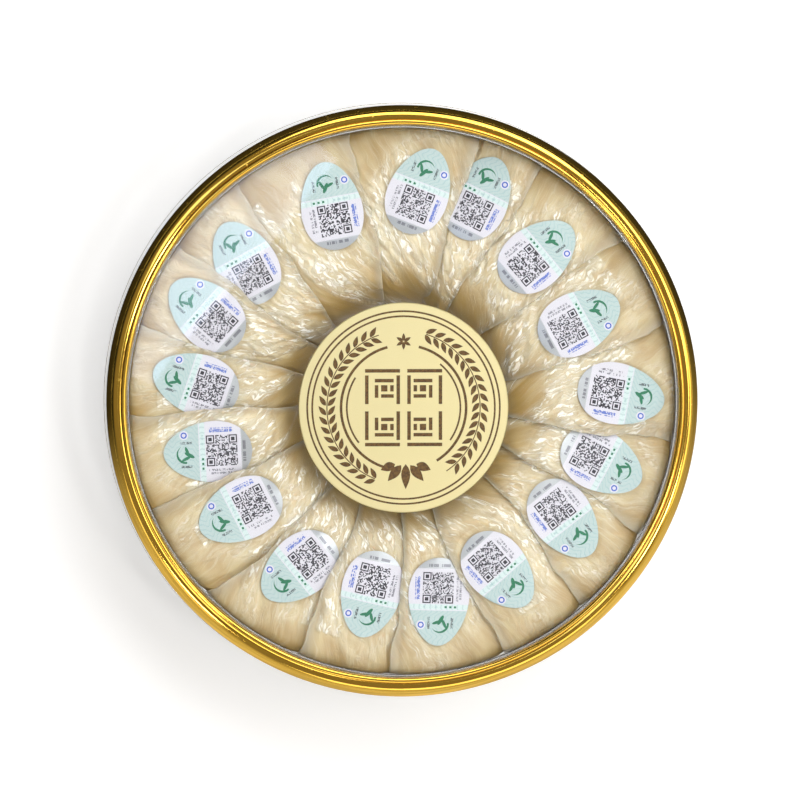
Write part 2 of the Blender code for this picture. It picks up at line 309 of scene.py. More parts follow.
def arc(middle_r, middle_z, radius_r, radius_z, start, end, steps):
    """Points on an elliptic arc in the turning plane, angles in degrees from +R towards +Z."""
    angles = np.radians(np.linspace(start, end, steps + 1))
    return [(middle_r + radius_r * math.cos(a), middle_z + radius_z * math.sin(a)) for a in angles]


def rounded(corners, radius, steps=3):
    """The outline's corners, each cut back and replaced by a smooth bend."""
    points = [corners[0]]
    for before, corner, after in zip(corners, corners[1:], corners[2:]):
        before, corner, after = Vector(before), Vector(corner), Vector(after)
        reach = min(radius, (before - corner).length / 2.0, (after - corner).length / 2.0)
        start = corner + (before - corner).normalized() * reach
        end = corner + (after - corner).normalized() * reach
        for share in np.linspace(0.0, 1.0, steps + 1):
            point = start.lerp(corner, share).lerp(corner.lerp(end, share), share)
            points.append(tuple(point))
    return points + [corners[-1]]


def turned(name, outline, finish, steps=TURNED_STEPS, sharp_angle=40.0):
    """A closed solid turned round +Z from an outline in millimetres, on the axis or on itself."""
    closed = outline[0][0] > 0.0
    rings = []
    vertices = []
    for radius, height in outline:
        count = steps if radius > 0.0 else 1
        rings.append(range(len(vertices), len(vertices) + count))
        bearings = 360.0 * np.arange(count) / steps
        vertices += [on_plan(bearing, radius * MM, height * MM) for bearing in bearings]
    faces = []
    for low, high in zip(rings, rings[1:] + (rings[:1] if closed else [])):
        for step in range(steps):
            onward = (step + 1) % steps
            corners = [low[step % len(low)], low[onward % len(low)], high[onward % len(high)]]
            corners.append(high[step % len(high)])
            faces.append(tuple(dict.fromkeys(corners)))
    return add_mesh(name, vertices, faces, finish, sharp_angle)


def clear_plastic(name, tint=CLEAR_COLOUR):
    """Clear moulded plastic with the faint waviness of a moulded sheet."""
    finish = Finish(name, base_color=tint, roughness=0.02, ior=CLEAR_IOR, transmission_weight=1.0)
    place = finish.add("TexCoord", {}, {}, "Object")
    finish.shade(normal=finish.bump(finish.noise(place, 22.0, detail=1.0), 0.12 * MM, 0.5))
    return finish


inner_foot = DISH_FOOT_RADIUS - DISH_WALL
flange_bottom = FLANGE_TOP - FLANGE_THICKNESS
dish_outline = [(0.0, 0.0)]
dish_outline += arc(DISH_FOOT_RADIUS, DISH_CORNER, DISH_CORNER, DISH_CORNER, -90.0, 0.0, 8)
dish_outline += rounded(
    [
        (DISH_WALL_RADIUS - DISH_WALL_LEAN, flange_bottom - DISH_WALL_BEND),
        (DISH_WALL_RADIUS, flange_bottom - FLANGE_FILLET),
        (DISH_WALL_RADIUS + FLANGE_FILLET, flange_bottom),
        (FLANGE_RADIUS, flange_bottom),
        (FLANGE_RADIUS, FLANGE_TOP),
        (SPIGOT_RADIUS, FLANGE_TOP),
        (SPIGOT_RADIUS, SPIGOT_TOP),
        (SPIGOT_RADIUS - DISH_WALL, SPIGOT_TOP),
        (SPIGOT_RADIUS - DISH_WALL - SPIGOT_SETBACK, flange_bottom),
    ],
    EDGE_ROUND,
)
dish_outline += arc(inner_foot, DISH_CORNER + DISH_WALL, DISH_CORNER, DISH_CORNER, 0.0, -90.0, 8)
dish_outline += [(0.0, DISH_WALL)]
dish = turned("dish", dish_outline[::-1], clear_plastic("clear_dish_plastic"))
dish.visible_shadow = False
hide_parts("base_dish")
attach(dish, "root")


# Nests: each is a half cup of dried, cemented strands, cream where it is thick and crinkled, with
# painted shade in a honey tone where it lies deep: near the wall, under each lip, at the inner ends
# and low down. They lie like roof tiles, each over the next one clockwise.
# One row a nest: bearing of the free lip 80 mm out, how far the lip turns from the inner to the
# outer end, bearing of the sticker's middle, millimetres out, the sticker's turn from radial
NESTS = (
    (-10.0, -2.0, -20.1, 83.4, 9.6),
    (15.3, 2.0, 4.5, 84.6, 16.6),
    (29.8, 5.0, 20.5, 87.0, 6.1),
    (52.4, 3.5, 42.8, 79.8, 7.2),
    (76.0, -6.0, 65.8, 78.0, -4.1),
    (99.0, 0.0, 88.3, 88.0, 12.8),
    (116.8, 6.0, 107.0, 84.0, 11.3),
    (135.9, 8.0, 126.2, 80.8, 16.4),
    (160.9, -8.0, 150.4, 78.6, -11.8),
    (180.6, 4.0, 169.8, 82.0, 12.3),
    (202.4, 1.5, 189.4, 78.6, 4.7),
    (222.4, 7.0, 212.0, 78.8, 19.0),
    (246.8, 0.0, 236.1, 78.6, 7.3),
    (267.0, 0.0, 255.6, 80.6, 11.8),
    (285.0, 1.0, 275.0, 83.2, 14.0),
    (303.6, 3.0, 294.2, 86.4, 18.0),
    (321.4, 4.0, 311.4, 84.2, 20.0),
)
LIP_RADIUS = 80.0
CUP_INNER = 33.5
CUP_OUTER = 110.2
CUP_HEM = 5.0
CUP_TOP = 49.6
CUP_THICKNESS = 2.8
LIP_THICKNESS = 1.1
CUP_MIDDLE = 70.0
INNER_FULLNESS = 2.6
OUTER_FULLNESS = 20.0
OUTER_END = 111.1
END_CALM = 1.5
CUP_UNDERCUT = 0.1
LIP_STEP = 2.4
LIP_CURL = 2.6
TUCK_ANGLE = 12.5
TUCK_CLEARANCE = 5.5
TUCKED_SHORTENING = 0.6
HEM_SHORTENING = 10.0
UNCOVERED_FULL_LENGTH = 0.12
LIP_ROUNDING = 0.4
LIP_ROUNDING_START = 0.8
INNER_END_VARIATION = 0.6
HEM_WAVE = 3.0
LUMP_HEIGHT = 0.7
LUMP_LENGTH = 13.0
LIP_WAVE = 0.6
LIP_WAVE_LENGTH = 9.0
# Turn in degrees, length in millimetres and random seed of each raggedness of the lips
LIP_RAGGED = ((0.75, 9.0, 51), (0.28, 3.2, 52))
LIP_WAVE_SHIFT = 2.4
END_SHIFT = 2.1
LUMP_SHIFT = 1.7
LUMP_CROSS_SHIFT = 0.9
HEM_WAVE_SHIFT = 2.0
LUMP_TURN = 2.8
HEM_WAVE_TURN = 3.0
OUTER_HEM_PHASE = 7.0
STICKER_LENGTH = 35.4
STICKER_WIDTH = 24.4
STICKER_TAPER = 0.16
# Height, length across and length along of what is uneven on a nest, in millimetres
STRAND_DRIFT = (3.5, 16.0, 22.0)
CRINKLE_PATCHES = (1.2, 9.0, 12.0)
CRINKLE_STREAKS = (2.4, 6.0, 24.0)
CREASE_BENDING = (2.0, 5.0, 5.0)
STRAND_RIDGES = ((0.16, 2.6, 22.0), (0.05, 1.1, 12.0))
SOFT_FOLDS = (0.75, 8.0, 20.0)
STRAND_SLANT = 0.22
# Height, slant, width and length of the creases where a nest is crinkled
CREASE_RIDGES = ((0.46, 0.5, 2.8, 6.5), (0.28, -0.4, 1.7, 3.8))
# The crinkled ring round a sticker: its middle and width, where 1 is the sticker's outline
CRINKLE_MIDDLE = 1.36
CRINKLE_WIDTH = 0.36
CRINKLE_OUTER = 100.0
CRINKLE_FADE = 16.0
CRINKLE_LEAST = 0.35
STREAKS_OUTER = 98.0
# Sharp folds: their number, and the least and most of each measure
FOLD_COUNT = 4
FOLD_PLACES = (8.0, 36.0)
FOLD_BEND_LENGTHS = (12.0, 26.0)
FOLD_BENDS = (2.0, 5.0)
FOLD_HEIGHTS = (0.35, 0.75)
FOLD_LENGTH = 15.0
FOLD_STEEP_SIDE = 0.4
FOLD_FLAT_SIDE = 5.0
RELIEF_MIDDLE = 0.25
RELIEF_AT_END = 0.25
# Spans over which a nest's edges change: across it, out from the middle or up its height
COVERED_EDGE = (-0.3, -0.1)
LIP_THINNING = (0.6, 1.0)
# Over this span the lip turns see-through and also gets a painted highlight along its edge.
SEE_THROUGH_LIP = (0.84, 1.0)
# These four spans place painted shade in a honey tone: near the dish wall, under the neighbour's lip, at the
# inner ends and low down.
SHADE_NEAR_WALL = (97.0, 107.0)
SHADE_UNDER_LIP = (0.04, 0.24)
SHADE_AT_INNER_ENDS = (46.0, 66.0)
SHADE_LOW_DOWN = (0.43, 0.93)
CUP_ROWS = 150
TUCKED_COLUMNS = 12
SHOWN_COLUMNS = 96
TUCKED_SHOWN = -0.2
INSIDE_STRIDE = 6


def value_noise(x, y, seed):
    """Smooth random numbers from -1 to 1 over a plane, with one random value a unit."""
    table = np.random.default_rng(seed).uniform(-1.0, 1.0, (256, 256))
    column, row = np.floor(x).astype(int), np.floor(y).astype(int)
    right_share, up_share = x - column, y - row
    right_share = right_share * right_share * (3.0 - 2.0 * right_share)
    up_share = up_share * up_share * (3.0 - 2.0 * up_share)
    corners = [table[(column + i) % 256, (row + j) % 256] for i in (0, 1) for j in (0, 1)]
    left = corners[0] + (corners[1] - corners[0]) * up_share
    far = corners[2] + (corners[3] - corners[2]) * up_share
    return left + (far - left) * right_share


def lip_bearing(nest, radius):
    """Bearing of a nest's free lip at a radius: a leaning, wavy and ragged line."""
    turns, place = divmod(nest, len(NESTS))
    bearing, lean = NESTS[place][:2]
    wave = LIP_WAVE * np.sin(radius / LIP_WAVE_LENGTH + LIP_WAVE_SHIFT * place)
    for turn, length, seed in LIP_RAGGED:
        wave = wave + turn * value_noise(radius / length, 0.0 * radius + 0.5, seed + 10 * place)
    return bearing + 360.0 * turns + lean * (radius - LIP_RADIUS) / (CUP_OUTER - CUP_INNER) + wave


def tuck_width(nest, radius):
    """How many degrees of a nest are tucked in under the nest before it."""
    room = lip_bearing(nest - 1, radius) - lip_bearing(nest - 2, radius)
    return np.minimum(TUCK_ANGLE, room - TUCK_CLEARANCE)


def shortening(across):
    """How much shorter each end is. The tucked side is short and fits inside its neighbour."""
    bare = np.clip(across / UNCOVERED_FULL_LENGTH, 0.0, 1.0)
    tucked = np.maximum(0.0, -across)
    corner = np.maximum(0.0, across - LIP_ROUNDING_START) / (1.0 - LIP_ROUNDING_START)
    covered = TUCKED_SHORTENING * (1.0 - bare * bare * (3.0 - 2.0 * bare))
    return covered + HEM_SHORTENING * tucked * tucked + LIP_ROUNDING * corner * corner


def end_reach(nest, across, outwards):
    """Signed reach of an end from the middle radius."""
    outer = OUTER_END - CUP_MIDDLE - shortening(across)
    inner = CUP_INNER + INNER_END_VARIATION * math.sin(END_SHIFT * nest) - CUP_MIDDLE
    return np.where(outwards, outer, inner + shortening(across))


def crest_height(nest, across, radius):
    """Height over the hem at mid length. across is 1 at the lip and -1 at the tucked hem."""
    span = lip_bearing(nest, radius) - lip_bearing(nest - 1, radius)
    covered = CUP_TOP - LIP_STEP
    shown = covered + LIP_STEP * across * (LIP_CURL - (LIP_CURL - 1.0) * across)
    bend = np.radians(-90.0 * np.minimum(across, 0.0))
    slope = LIP_STEP * LIP_CURL / span * tuck_width(nest, radius)
    tucked = covered - slope * np.sin(bend) - (covered - slope - CUP_HEM) * (1.0 - np.cos(bend))
    along_wave = np.sin(radius / LUMP_LENGTH + LUMP_SHIFT * nest)
    across_wave = np.sin(LUMP_TURN * across + LUMP_CROSS_SHIFT * nest)
    lumps = LUMP_HEIGHT * along_wave * across_wave * np.minimum(1.0, 1.0 + across)
    return np.where(across >= 0.0, shown, tucked) - CUP_HEM + lumps


def cup_bearing(nest, across, radius):
    start = lip_bearing(nest - 1, radius)
    shown = start + across * (lip_bearing(nest, radius) - start)
    bend = np.radians(-90.0 * np.minimum(across, 0.0))
    return np.where(across >= 0.0, shown, start - tuck_width(nest, radius) * np.sin(bend))


def arch(count):
    """Sides, reaches and rises of points at even steps along a nest's arched length."""
    angle = np.linspace(math.pi, 0.0, 4001)
    outwards = angle < math.pi / 2.0
    fullness = np.where(outwards, OUTER_FULLNESS, INNER_FULLNESS)
    size = (np.abs(np.cos(angle)) ** fullness + np.sin(angle) ** fullness) ** (-1.0 / fullness)
    share, rise = np.abs(np.cos(angle)) * size, np.sin(angle) * size
    reach = np.where(outwards, CUP_OUTER - CUP_MIDDLE, CUP_INNER - CUP_MIDDLE) * share
    steps = np.hypot(np.diff(reach), np.diff(rise) * (CUP_TOP - CUP_HEM) * 0.6)
    length = np.concatenate(([0.0], np.cumsum(steps)))
    picked = np.searchsorted(length, np.linspace(0.0, length[-1], count) - 1e-9)
    return outwards[picked], share[picked], np.maximum(0.0, rise[picked])


def ridges(x, y, seed):
    """Sharp crests from 0 to 1, as strands and creases make."""
    return 1.0 - np.abs(value_noise(x, y, seed)) * 2.0


def sticker_distance(nest, x, y):
    """0 at a sticker's middle, 1 on its outline, more outside it, over points on the plan."""
    bearing, out, turn_from_radial = NESTS[nest][2:]
    middle = on_plan(bearing, out, 0.0)
    heading = math.radians(bearing + turn_from_radial)
    forward = (x - middle.x) * math.sin(heading) + (y - middle.y) * math.cos(heading)
    aside = (x - middle.x) * math.cos(heading) - (y - middle.y) * math.sin(heading)
    along = forward / (STICKER_LENGTH / 2.0)
    across = aside / (STICKER_WIDTH / 2.0) / (1.0 - STICKER_TAPER * np.clip(along, -1.5, 1.5))
    return np.hypot(along, across)


def nest_relief(nest, across_mm, along_mm, near_sticker, radius):
    """Height of strands, folds and creases over the smooth cup, and how crinkled each point is."""
    seed = 100 * nest

    def uneven(measures, shift, place=across_mm):
        height, width, length = measures
        return height * value_noise(place / width, along_mm / length, seed + shift)

    slant = STRAND_SLANT * math.sin(1.9 * nest + 0.6)
    place = across_mm + slant * along_mm + uneven(STRAND_DRIFT, 1)
    strands = sum(
        height * ridges(place / width, along_mm / length, seed + shift)
        for shift, (height, width, length) in enumerate(STRAND_RIDGES, 2)
    )
    patches = np.clip(0.5 + uneven(CRINKLE_PATCHES, 4), 0.0, 1.0)
    streaks = np.clip(uneven(CRINKLE_STREAKS, 10) - 0.5, 0.0, 0.8) * (radius < STREAKS_OUTER)
    ring = np.exp(-((near_sticker - CRINKLE_MIDDLE) / CRINKLE_WIDTH) ** 2)
    ring = ring * np.clip((CRINKLE_OUTER - radius) / CRINKLE_FADE, CRINKLE_LEAST, 1.0)
    crinkled = np.clip(ring * (0.6 + 0.9 * patches) + streaks, 0.0, 1.0)
    bent = along_mm + uneven(CREASE_BENDING, 5)
    creases = sum(
        height * ridges((place + turn * bent) / width, (bent - turn * place) / length, seed + shift)
        for shift, (height, turn, width, length) in enumerate(CREASE_RIDGES, 6)
    )
    folds = uneven(SOFT_FOLDS, 9, place)
    chance = np.random.default_rng(seed + 8)
    for _ in range(FOLD_COUNT):
        line = chance.uniform(*FOLD_PLACES)
        bend = np.sin(along_mm / chance.uniform(*FOLD_BEND_LENGTHS) + chance.uniform(0.0, 6.0))
        step = place + chance.uniform(*FOLD_BENDS) * bend - line
        height = chance.uniform(*FOLD_HEIGHTS) * (0.4 + 0.6 * np.sin(along_mm / FOLD_LENGTH + line) ** 2)
        folds += height * (np.tanh(step / FOLD_STEEP_SIDE) - np.tanh(step / FOLD_FLAT_SIDE))
    flat = np.clip((near_sticker - 0.98) / 0.12, 0.12, 1.0)
    return (strands * (1.0 - 0.3 * crinkled) + creases * crinkled + folds) * flat, crinkled


def nest_points(nest):
    """The outer face's points in millimetres, as rows along the length by columns across."""
    outwards, share, rise = (values[:, None] for values in arch(CUP_ROWS))
    tucked = np.linspace(-1.0, TUCKED_SHOWN, TUCKED_COLUMNS, endpoint=False)
    across = np.concatenate((tucked, np.linspace(TUCKED_SHOWN, 1.0, SHOWN_COLUMNS)))[None, :]
    pulled = share * (1.0 - CUP_UNDERCUT * (1.0 - rise) ** 2)
    radius = CUP_MIDDLE + end_reach(nest, across, outwards) * pulled
    height = CUP_HEM + crest_height(nest, across, radius) * rise
    hem_phase = HEM_WAVE_TURN * across + HEM_WAVE_SHIFT * nest + OUTER_HEM_PHASE * outwards
    height = height + HEM_WAVE * (1.0 - rise) * (0.5 + 0.5 * np.sin(hem_phase))
    bearing = np.radians(cup_bearing(nest, across, radius))
    points = np.stack((radius * np.sin(bearing), radius * np.cos(bearing), height), axis=-1)
    return points, across + 0.0 * radius, rise + 0.0 * radius


def unit(vectors):
    return vectors / np.linalg.norm(vectors, axis=-1, keepdims=True)


def ramp(values, low, high):
    """0 up to low, 1 from high on."""
    return np.clip((values - low) / (high - low), 0.0, 1.0)


def add_attribute(data, name, kind, key, values):
    layer = data.attributes.new(name, kind, "POINT")
    layer.data.foreach_set(key, np.ascontiguousarray(values, dtype=np.float32).ravel())


def make_nest(nest, finish):
    """One nest as a closed shell: outer face, rounded lip, plain inner face and closed ends."""
    points, across, rise = nest_points(nest)
    along_step = np.gradient(points, axis=0)
    across_step = np.gradient(points, axis=1)
    normal = unit(np.cross(across_step, along_step))
    along_mm = np.cumsum(np.linalg.norm(along_step, axis=-1), axis=0)
    across_mm = np.cumsum(np.linalg.norm(across_step, axis=-1), axis=1)
    near_sticker = sticker_distance(nest, points[..., 0], points[..., 1])
    radius = np.hypot(points[..., 0], points[..., 1])
    relief, crinkled = nest_relief(nest, across_mm, along_mm, near_sticker, radius)
    calm = np.clip((OUTER_END - radius) / END_CALM, RELIEF_AT_END, 1.0)
    relief = (relief - RELIEF_MIDDLE) * ramp(across, *COVERED_EDGE) * calm
    thickness = CUP_THICKNESS + (LIP_THICKNESS - CUP_THICKNESS) * ramp(across, *LIP_THINNING) ** 2
    outer = points + normal * relief[..., None]
    inner = points - normal * thickness[..., None]
    lip_out, lip_in = outer[:, -1], inner[:, -1]
    overhang = unit(across_step[:, -1]) * thickness[:, -1:] * 0.4
    lip = [
        lip_out + (lip_in - lip_out) * (1.0 - math.cos(a)) / 2.0 + overhang * math.sin(a)
        for a in (math.radians(angle) for angle in (40.0, 90.0, 140.0))
    ]
    inside_columns = list(range(points.shape[1] - 1, 0, -INSIDE_STRIDE)) + [0]
    loop = [outer] + [line[:, None] for line in lip] + [inner[:, inside_columns]]
    loop = np.concatenate(loop, axis=1)
    rows, columns = loop.shape[:2]
    number = np.arange(rows * columns).reshape(rows, columns)
    onward = np.roll(number, -1, axis=1)
    faces = np.stack((number[:-1], onward[:-1], onward[1:], number[1:]), axis=-1)
    faces = faces.reshape(-1, 4).tolist()
    first_inside = points.shape[1] + len(lip)
    for row, flip in ((0, True), (rows - 1, False)):
        outline = number[row]
        inside = {column: outline[first_inside + k] for k, column in enumerate(inside_columns)}
        lip_cap = [outline[k] for k in range(points.shape[1] - 1, first_inside + 1)]
        caps = [lip_cap]
        for right_column, left_column in zip(inside_columns, inside_columns[1:]):
            outside = [outline[column] for column in range(left_column, right_column + 1)]
            caps.append(outside + [inside[right_column], inside[left_column]])
        faces += [cap[::-1] if flip else cap for cap in caps]
    name = f"swiftlet_nest_{nest + 1:02d}"
    piece = add_mesh(name, loop.reshape(-1, 3) * MM, faces, finish, sharp_angle=75.0)

    def spread(values):
        """A value at each outer point, carried on round the lip and the inside."""
        edge = np.repeat(values[:, -1:], len(lip), axis=1)
        return np.concatenate((values, edge, values[:, inside_columns]), axis=1)

    strand = np.stack((spread(across_mm), spread(along_mm), np.full(loop.shape[:2], 37.0 * nest)), axis=-1)
    add_attribute(piece.data, "strand", "FLOAT_VECTOR", "vector", strand)
    # Painted shade in a honey tone where the nest lies deep: towards the dish wall, under the neighbour's
    # lip, at the inner ends and low down.
    rim = ramp(radius, *SHADE_NEAR_WALL)
    shaded_notch = rim * (1.0 - ramp(across, *SHADE_UNDER_LIP)) * np.clip(rise / 0.8, 0.2, 1.0)
    ends = 1.0 - ramp(radius, *SHADE_AT_INNER_ENDS)
    low = (1.0 - ramp(rise, *SHADE_LOW_DOWN)) * np.where(radius > CUP_MIDDLE, 0.25, 1.0)
    deep_shade = np.maximum.reduce((0.3 * rim, shaded_notch, ends, low))
    lip_share = ramp(across, *SEE_THROUGH_LIP)
    for trait, values in (("crinkled", crinkled), ("deep_shade", deep_shade), ("lip", lip_share)):
        add_attribute(piece.data, trait, "FLOAT", "value", spread(values))
    return piece


CREAM = (0.455, 0.36, 0.19)
PALE = (0.64, 0.60, 0.48)
TAN = (0.38, 0.275, 0.125)
HONEY = (0.31, 0.19, 0.04)
GLINT_WHITE = (0.90, 0.88, 0.80)


def dried_strands(name):
    """Cemented strands: waxy with faint fibres, pale and glossy where crinkled, painted honey shade where
    deep.
    """
    finish = Finish(
        name,
        subsurface_weight=0.65,
        subsurface_radius=(1.0, 0.66, 0.34),
        subsurface_scale=3.0 * MM,
        specular_ior_level=0.6,
    )
    finish.shader.subsurface_method = "BURLEY"
    across, along, which = finish.split(finish.attribute("strand", "Vector"))
    crinkled = finish.attribute("crinkled")
    deep_shade = finish.attribute("deep_shade")
    lip = finish.attribute("lip")
    sway = finish.noise(finish.join(across * 0.09, along * 0.06, which), 1.0)
    swayed = across + (sway - 0.5) * 9.0
    fibres = finish.noise(finish.join(swayed * 0.9, along * 0.05, which), 1.0, detail=3.0)
    clouds = finish.noise(finish.join(swayed * 0.11, along * 0.06, which + 5.0), 1.0, detail=2.0)
    bent = finish.noise(finish.join(swayed * 0.35, along * 0.3, which + 3.0), 1.0) - 0.5
    facet_place = finish.join(swayed * 1.1 + bent * 4.0, along * 0.27 + bent * 1.6, which)
    facet = finish.split(finish.add("TexVoronoi", {}, {"Vector": facet_place, "Scale": 1.0}, "Color"))[0]
    edge = finish.add("TexVoronoi", {"feature": "DISTANCE_TO_EDGE"}, {"Vector": facet_place, "Scale": 1.0})
    # Painted glints: bright facets on the crinkled parts, drawn in near-white.
    glint = facet.rising(0.5, 0.85) * edge.rising(0.02, 0.22) * crinkled.rising(0.3, 0.8)
    tone = clouds.rising(0.38, 0.62)
    colour = finish.mix(tone, TAN, CREAM)
    colour = finish.mix(fibres.rising(0.48, 0.72) * 0.3, colour, PALE)
    # Honey tone: painted shade in the deep places, and a little at random where the clouds are dark.
    honey = (deep_shade * 0.85 + (1.0 - tone) * 0.15) * (1.0 - crinkled * 0.5)
    colour = finish.mix(honey * 0.85, colour, HONEY)
    # Pale crinkles: partly the film's own milky colour, partly painted sheen standing for light on the
    # creases.
    milky_and_sheen = crinkled * (0.35 + facet * 0.5) * (1.0 - deep_shade * 0.45)
    # Pale over the crinkles, and pale along the lip's edge as a painted highlight.
    colour = finish.mix(milky_and_sheen.either(lip * lip * 0.6), colour, PALE)
    colour = finish.mix(glint * 0.75, colour, GLINT_WHITE)
    finish.shade(
        base_color=colour,
        roughness=0.42 - crinkled.rising(0.1, 0.6) * 0.2,
        alpha=1.0 - lip * 0.5,
        normal=finish.bump(fibres * 0.3 + crinkled * facet * edge.rising(0.0, 0.12) * 1.2, 0.4 * MM, 0.8),
    )
    return finish


strand_finish = dried_strands("dried_strands")
for nest_index in range(len(NESTS)):
    nest_piece = make_nest(nest_index, strand_finish)
    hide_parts(f"nest_{nest_index + 1:02d}")
    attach(nest_piece, "root")


# Stickers: an egg of coated paper glued on each nest, narrow end outwards. A pale green cap, a
# dotted strip, a white field with a made-up square pattern and a silver end are printed on it.
STICKER_THICKNESS = 0.14
STICKER_STANDOFF = 0.42
STICKER_RINGS = 12
STICKER_SPOKES = 72


def cup_surface(nest, x, y):
    """Height of a nest's smooth outer face over points on the plan, in millimetres."""
    radius = np.hypot(x, y)
    middle_bearing = NESTS[nest][2]
    bearing = np.degrees(np.arctan2(x, y))
    bearing = middle_bearing + (bearing - middle_bearing + 180.0) % 360.0 - 180.0
    start = lip_bearing(nest - 1, radius)
    shown = (bearing - start) / (lip_bearing(nest, radius) - start)
    tucked = np.clip((start - bearing) / tuck_width(nest, radius), 0.0, 1.0)
    across = np.where(bearing >= start, shown, -np.degrees(np.arcsin(tucked)) / 90.0)
    outwards = radius > CUP_MIDDLE
    fullness = np.where(outwards, OUTER_FULLNESS, INNER_FULLNESS)
    share = np.clip((radius - CUP_MIDDLE) / end_reach(nest, across, outwards), 0.0, 1.0)
    rise = (1.0 - share ** fullness) ** (1.0 / fullness)
    return CUP_HEM + crest_height(nest, across, radius) * rise


def make_sticker(nest, finish):
    """A closed sheet of paper on concentric egg outlines, lying on its nest."""
    bearing, out, turn_from_radial = NESTS[nest][2:]
    middle = on_plan(bearing, out, 0.0)
    heading = math.radians(bearing + turn_from_radial)
    ring = np.concatenate(([0.0], np.repeat(np.arange(1, STICKER_RINGS + 1) / STICKER_RINGS, STICKER_SPOKES)))
    spoke = np.concatenate(([0.0], np.tile(np.arange(STICKER_SPOKES), STICKER_RINGS)))
    angle = math.tau * spoke / STICKER_SPOKES
    along = ring * np.cos(angle)
    forward = along * STICKER_LENGTH / 2.0
    aside = ring * np.sin(angle) * (1.0 - STICKER_TAPER * along) * STICKER_WIDTH / 2.0
    x = middle.x + forward * math.sin(heading) + aside * math.cos(heading)
    y = middle.y + forward * math.cos(heading) - aside * math.sin(heading)
    buckle = 0.10 * value_noise(forward / 5.0, aside / 6.0 + 11.0 * nest, 900 + nest) * ring
    height = cup_surface(nest, x, y) + STICKER_STANDOFF + buckle
    under = np.stack((x, y, height), axis=-1)
    over = under + np.array((0.0, 0.0, STICKER_THICKNESS))
    count = len(under)
    sheet = [(0, 1 + (k + 1) % STICKER_SPOKES, 1 + k) for k in range(STICKER_SPOKES)]
    for band in range(STICKER_RINGS - 1):
        near, far = 1 + band * STICKER_SPOKES, 1 + (band + 1) * STICKER_SPOKES
        for k in range(STICKER_SPOKES):
            onward = (k + 1) % STICKER_SPOKES
            sheet.append((near + k, near + onward, far + onward, far + k))
    faces = [tuple(count + corner for corner in face) for face in sheet]
    faces += [face[::-1] for face in sheet]
    last = 1 + (STICKER_RINGS - 1) * STICKER_SPOKES
    for k in range(STICKER_SPOKES):
        here, there = last + k, last + (k + 1) % STICKER_SPOKES
        faces.append((here, count + here, count + there, there))
    vertices = np.concatenate((under, over)) * MM
    piece = add_mesh(f"egg_sticker_{nest + 1:02d}", vertices, faces, finish, sharp_angle=50.0)
    places = np.stack((aside, forward, np.full(count, 13.0 * nest)), axis=-1)
    add_attribute(piece.data, "printed", "FLOAT_VECTOR", "vector", np.concatenate((places, places)))
    return piece


PAPER_WHITE = (0.56, 0.55, 0.60)
CAP_GREEN = (0.385, 0.48, 0.475)
CAP_LINE = (0.26, 0.39, 0.40)
LEAF_GREEN = (0.012, 0.14, 0.07)
INK = (0.02, 0.02, 0.03)
GREY_INK = (0.13, 0.13, 0.16)
BLUE_INK = (0.02, 0.08, 0.42)
SILVER = (0.42, 0.44, 0.46)
STRIP_GREEN = (0.50, 0.60, 0.59)
# Where the cap starts and the silver end stops, out along the sticker
CAP_START = 3.5
SILVER_END = -13.3
PRINT_EDGE = 0.1
# The square pattern: its middle, half its width, one cell, and half the squares of its three eyes
CODE_MIDDLE = (0.4, -5.6)
CODE_HALF = 6.24
CODE_CELL = 0.48
EYE_CLEAR, EYE_OUTER, EYE_GAP, EYE_INNER = 1.92, 1.68, 1.2, 0.72
# Broken lines beside it: place, share left out, half the width, half the length, ink
BESIDE_CODE = (
    (-7.4, 0.35, 0.45, 5.2, GREY_INK),
    (-8.7, 0.4, 0.45, 4.4, GREY_INK),
    (8.4, 0.05, 0.60, 4.6, BLUE_INK),
    (9.5, 0.3, 0.22, 4.6, BLUE_INK),
)


